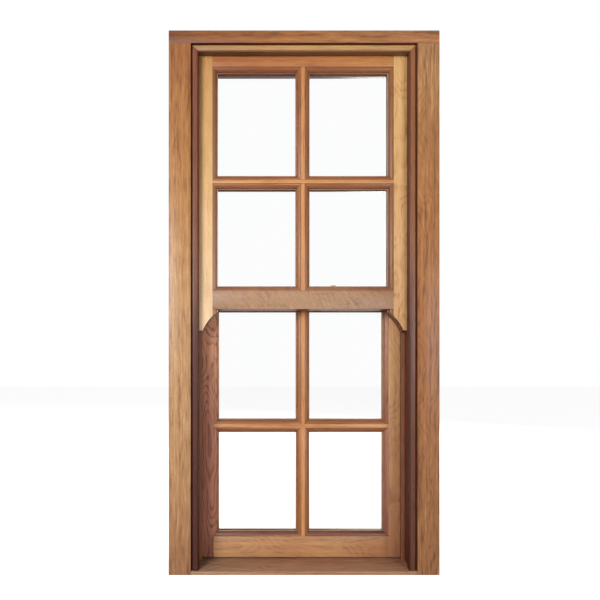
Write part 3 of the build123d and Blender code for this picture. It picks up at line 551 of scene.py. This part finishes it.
def panel_pin(where, outward):
    """The head of one pin, dished by the punch that set it, driven square to the bead's face."""
    bpy.ops.object.select_all(action="DESELECT")
    bpy.ops.mesh.primitive_cylinder_add(vertices=pin_head_sides, radius=pin_head_radius,
                                        depth=pin_head_depth)
    pin = bpy.context.active_object
    bpy.ops.object.mode_set(mode="EDIT")
    bpy.ops.mesh.select_all(action="DESELECT")
    bpy.ops.object.mode_set(mode="OBJECT")
    for face in pin.data.polygons:
        face.select = face.normal.z > 0.9
    bpy.ops.object.mode_set(mode="EDIT")
    bpy.ops.mesh.inset(thickness=pin_rim)
    bpy.ops.transform.translate(value=(0.0, 0.0, -pin_dish))
    bpy.ops.object.mode_set(mode="OBJECT")
    pin.rotation_euler = outward.to_track_quat("Z", "Y").to_euler()
    pin.location = where + outward * (pin_stands_proud - pin_head_depth / 2)
    bpy.ops.object.transform_apply(location=True, rotation=True, scale=True)
    return pin


for sash in ("upper", "lower"):
    strips = finished(f"{sash}_glazing_beads", strip_upright, strip_arris)
    strips.data.materials.append(strip_level)
    bpy.context.view_layer.update()
    pins = []
    for island in faces_of_islands(strips.data):
        corners = [strips.data.vertices[v].co for f in island for v in strips.data.polygons[f].vertices]
        low_x, high_x = min(c.x for c in corners), max(c.x for c in corners)
        low_z, high_z = min(c.z for c in corners), max(c.z for c in corners)
        level = high_x - low_x > high_z - low_z
        for face in island:
            strips.data.polygons[face].material_index = 1 if level else 0
        length = max(high_x - low_x, high_z - low_z)
        count = max(2, round(length / pin_spacing))
        for step in range(count):
            share = (step + 0.5) / count
            spot_x = low_x + (high_x - low_x) * (share if level else 0.5)
            spot_z = low_z + (high_z - low_z) * (0.5 if level else share)
            struck, where, outward, _ = strips.ray_cast((spot_x, in_the_room, spot_z), (0.0, -1.0, 0.0))
            if struck:
                pins.append(panel_pin(where, outward))
    bpy.ops.object.select_all(action="DESELECT")
    for pin in pins:
        pin.select_set(True)
    bpy.context.view_layer.objects.active = pins[0]
    bpy.ops.object.join()
    bead_pins = bpy.context.active_object
    bead_pins.name = f"{sash}_bead_pins"
    bead_pins.data.materials.append(pin_metal)
    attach(bead_pins, f"{sash}_sash")

# Panes: four sheets of clear float glass in each sash, bedded in the rebates from the room side. The
# glass has the faintest green cast and a slow wave, which moves what it reflects a little.

pane_arris = 0.0003
wave_bump = 0.05
wave_height = 0.0004
clear_glass = bpy.data.materials.new("clear_float_glass")
clear_glass.use_nodes = True
glass_tree = clear_glass.node_tree
glass_surface = glass_tree.nodes["Principled BSDF"]
glass_place = shader_node(glass_tree, "TexCoord").outputs["Object"]
glass_wave = noise(glass_tree, glass_place, (5.0, 5.0, 2.5), detail=1.0)
glass_bump = shader_node(glass_tree, "Bump", {
    "Height": glass_wave, "Strength": wave_bump, "Distance": wave_height})
glass_tree.links.new(glass_bump.outputs["Normal"], glass_surface.inputs["Normal"])
glass_tree.links.new(mixed(glass_tree, glass_wave, srgb(255, 255, 255), srgb(253, 255, 254)),
                     glass_surface.inputs["Base Color"])
glass_surface.inputs["Transmission Weight"].default_value = 1.0
glass_surface.inputs["Roughness"].default_value = 0.0
glass_surface.inputs["IOR"].default_value = 1.45
for sash in ("upper", "lower"):
    finished(f"{sash}_panes", clear_glass, pane_arris, steps=1)

# Sash fastener and hook lifts: lacquered brass on the room side. The base carries the lever on a
# riveted pivot, the keeper stands on the other sash, and two lifts are screwed to the bottom rail.
# The slots in the screw heads are cut here.

fitting_arris = 0.0003
screw_arris = 0.00015
screw_slot_width = 0.0009
screw_slot_depth = 0.0008
screw_slot_turn = 0.7
blade_over_head = 2.6


def slotted(screws):
    """Cuts the driver's slot across each screw head, turned a little differently on every one."""
    heads = []
    for island in faces_of_islands(screws.data):
        head = max((screws.data.polygons[f] for f in island), key=lambda face: face.area)
        heads.append((head.center.copy(), head.normal.copy(), math.sqrt(head.area / math.pi)))
    for number, (centre, outward, radius) in enumerate(heads):
        bpy.ops.object.select_all(action="DESELECT")
        bpy.ops.mesh.primitive_cube_add(size=1.0)
        blade = bpy.context.active_object
        blade.scale = (blade_over_head * radius, screw_slot_width, 2 * screw_slot_depth)
        blade.rotation_euler = (0.0, 0.0, screw_slot_turn * number)
        bpy.ops.object.transform_apply(location=True, rotation=True, scale=True)
        blade.rotation_euler = outward.to_track_quat("Z", "Y").to_euler()
        blade.location = centre
        bpy.ops.object.transform_apply(location=True, rotation=True, scale=True)
        select_only(screws)
        cut = screws.modifiers.new("slot", "BOOLEAN")
        cut.operation = "DIFFERENCE"
        cut.solver = "EXACT"
        cut.object = blade
        bpy.ops.object.modifier_apply(modifier="slot")
        bpy.data.objects.remove(blade, do_unlink=True)


brass = metal("lacquered_brass", srgb(216, 176, 96), srgb(150, 112, 60), 0.2, 0.34)
for node in ("fastener_base", "fastener_lever", "fastener_keeper", "lift_left", "lift_right"):
    finished(node, brass, fitting_arris)
for sash in ("upper", "lower"):
    slotted(finished(f"{sash}_screws", brass, screw_arris, steps=1))

# Spring balances: a drawn tube fixed to each jamb over a plain steel rod that stands in a nylon
# foot on the sash, with a nylon bush in the tube's mouth and a plated screw through its top.

tube_arris = 0.0001
rod_arris = 0.0003
foot_arris = 0.0005
bush_arris = 0.0003
tube_screw_arris = 0.0002
skin_bump = 0.2
skin_relief = 0.0001
tube_metal = metal("drawn_tube", srgb(205, 203, 198), srgb(150, 149, 146), 0.3, 0.46,
                   marks_per_metre=(1080.0, 1080.0, 18.0))
plated_steel = metal("plated_steel", srgb(190, 192, 192), srgb(140, 138, 132), 0.22, 0.38,
                     marks_per_metre=(720.0, 720.0, 48.0))
nylon = bpy.data.materials.new("brown_nylon")
nylon.use_nodes = True
nylon_tree = nylon.node_tree
nylon_surface = nylon_tree.nodes["Principled BSDF"]
nylon_place = shader_node(nylon_tree, "TexCoord").outputs["Object"]
nylon_skin = noise(nylon_tree, nylon_place, (900.0, 900.0, 900.0))
nylon_tree.links.new(mixed(nylon_tree, nylon_skin, srgb(70, 46, 32), srgb(92, 62, 44)),
                     nylon_surface.inputs["Base Color"])
nylon_tree.links.new(between(nylon_tree, nylon_skin, 0.3, 0.7, 0.42, 0.55), nylon_surface.inputs["Roughness"])
nylon_bump = shader_node(nylon_tree, "Bump", {
    "Height": nylon_skin, "Strength": skin_bump, "Distance": skin_relief})
nylon_tree.links.new(nylon_bump.outputs["Normal"], nylon_surface.inputs["Normal"])
for sash in ("upper", "lower"):
    for side in ("left", "right"):
        finished(f"{sash}_balance_tube_{side}", tube_metal, tube_arris, steps=1)
        finished(f"{sash}_balance_rod_{side}", plated_steel, rod_arris, steps=1)
        finished(f"{sash}_balance_foot_{side}", nylon, foot_arris)
finished("tube_bushes", nylon, bush_arris, steps=1)
slotted(finished("tube_screws", plated_steel, tube_screw_arris, steps=1))

# The studio: a pale floor under the window, an even white surround that the panes show, and three
# soft lights, a large one from the left in front, a weaker one from the right and one in the room.
# The camera stands where the photograph was taken from.

white = (1.0, 1.0, 1.0, 1.0)
floor_size = 24.0
floor_gap = 0.0005
floor_grey = srgb(186, 186, 185)
floor_roughness = 0.9
floor_glow = 0.78


def seen_directly(tree):
    """1 for what the camera sees, also through glass, and 0 for what only lights the window."""
    ray = shader_node(tree, "LightPath")
    return calculated(tree, "MAXIMUM", ray.outputs["Is Camera Ray"], ray.outputs["Is Transmission Ray"])


# The floor glows only for the camera, so that it looks pale but throws little light on the window
bpy.ops.object.select_all(action="DESELECT")
bpy.ops.mesh.primitive_plane_add(size=floor_size, location=(0.0, 0.0, -floor_gap))
floor = bpy.context.active_object
floor.name = "studio_floor"
floor_paint = bpy.data.materials.new("pale_floor")
floor_paint.use_nodes = True
floor_tree = floor_paint.node_tree
floor_surface = floor_tree.nodes["Principled BSDF"]
floor_surface.inputs["Base Color"].default_value = floor_grey
floor_surface.inputs["Roughness"].default_value = floor_roughness
floor_surface.inputs["Emission Color"].default_value = white
floor_tree.links.new(calculated(floor_tree, "MULTIPLY", seen_directly(floor_tree), floor_glow),
                     floor_surface.inputs["Emission Strength"])
floor.data.materials.append(floor_paint)

# The surround is white to look at and dimmer as a light, so that the tracks and quirks stay dark
surround_light = 0.34
surround = bpy.data.worlds.new("surround")
bpy.context.scene.world = surround
surround.use_nodes = True
surround_tree = surround.node_tree
sky = surround_tree.nodes["Background"]
sky.inputs["Color"].default_value = white
surround_tree.links.new(between(surround_tree, seen_directly(surround_tree), 0.0, 1.0, surround_light, 1.0),
                        sky.inputs["Strength"])
bpy.context.scene.view_settings.view_transform = "Standard"


def soft_light(name, place, target, size, power):
    """A square lamp that faces its target and isn't seen itself, directly or through the panes."""
    lamp = bpy.data.lights.new(name, "AREA")
    lamp.size = size
    lamp.energy = power
    held = bpy.data.objects.new(name, lamp)
    bpy.context.scene.collection.objects.link(held)
    held.visible_camera = False
    held.visible_transmission = False
    held.location = place
    way = [t - p for t, p in zip(target, place)]
    level = math.hypot(way[0], way[1])
    held.rotation_euler = (math.atan2(level, -way[2]), 0.0, math.atan2(way[1], way[0]) - math.pi / 2)


soft_light("key_light", place=(-2.5, -3.3, 1.9), target=(0.0, 0.0, 0.9), size=1.8, power=178.0)
soft_light("fill_light", place=(2.3, -3.1, 0.9), target=(0.0, 0.0, 0.5), size=1.6, power=66.0)
soft_light("room_light", place=(1.8, 3.2, 2.2), target=(0.0, 0.0, 0.9), size=2.0, power=130.0)

# The camera looks straight ahead, from left of the window's middle and below it, and is shifted
# to frame the whole window
photo_frame_px = 600
photo_px_per_mm = 0.3027
photo_distance = 1.4
mm_per_metre = 1000
camera_x = -0.1855
camera_z = 0.6944
sight_px = (248.0, 365.0)
sensor_mm = 36.0
view = bpy.data.cameras.new("photo_camera")
view.sensor_width = sensor_mm
view.lens = photo_px_per_mm * photo_distance * mm_per_metre / photo_frame_px * sensor_mm
view.shift_x = (photo_frame_px / 2 - sight_px[0]) / photo_frame_px
view.shift_y = (sight_px[1] - photo_frame_px / 2) / photo_frame_px
photo_camera = bpy.data.objects.new("photo_camera", view)
bpy.context.scene.collection.objects.link(photo_camera)
photo_camera.location = (camera_x, cad_box[0][1] - photo_distance, camera_z)
photo_camera.rotation_euler = (math.radians(90.0), 0.0, 0.0)
bpy.context.scene.camera = photo_camera

bpy.context.view_layer.update()
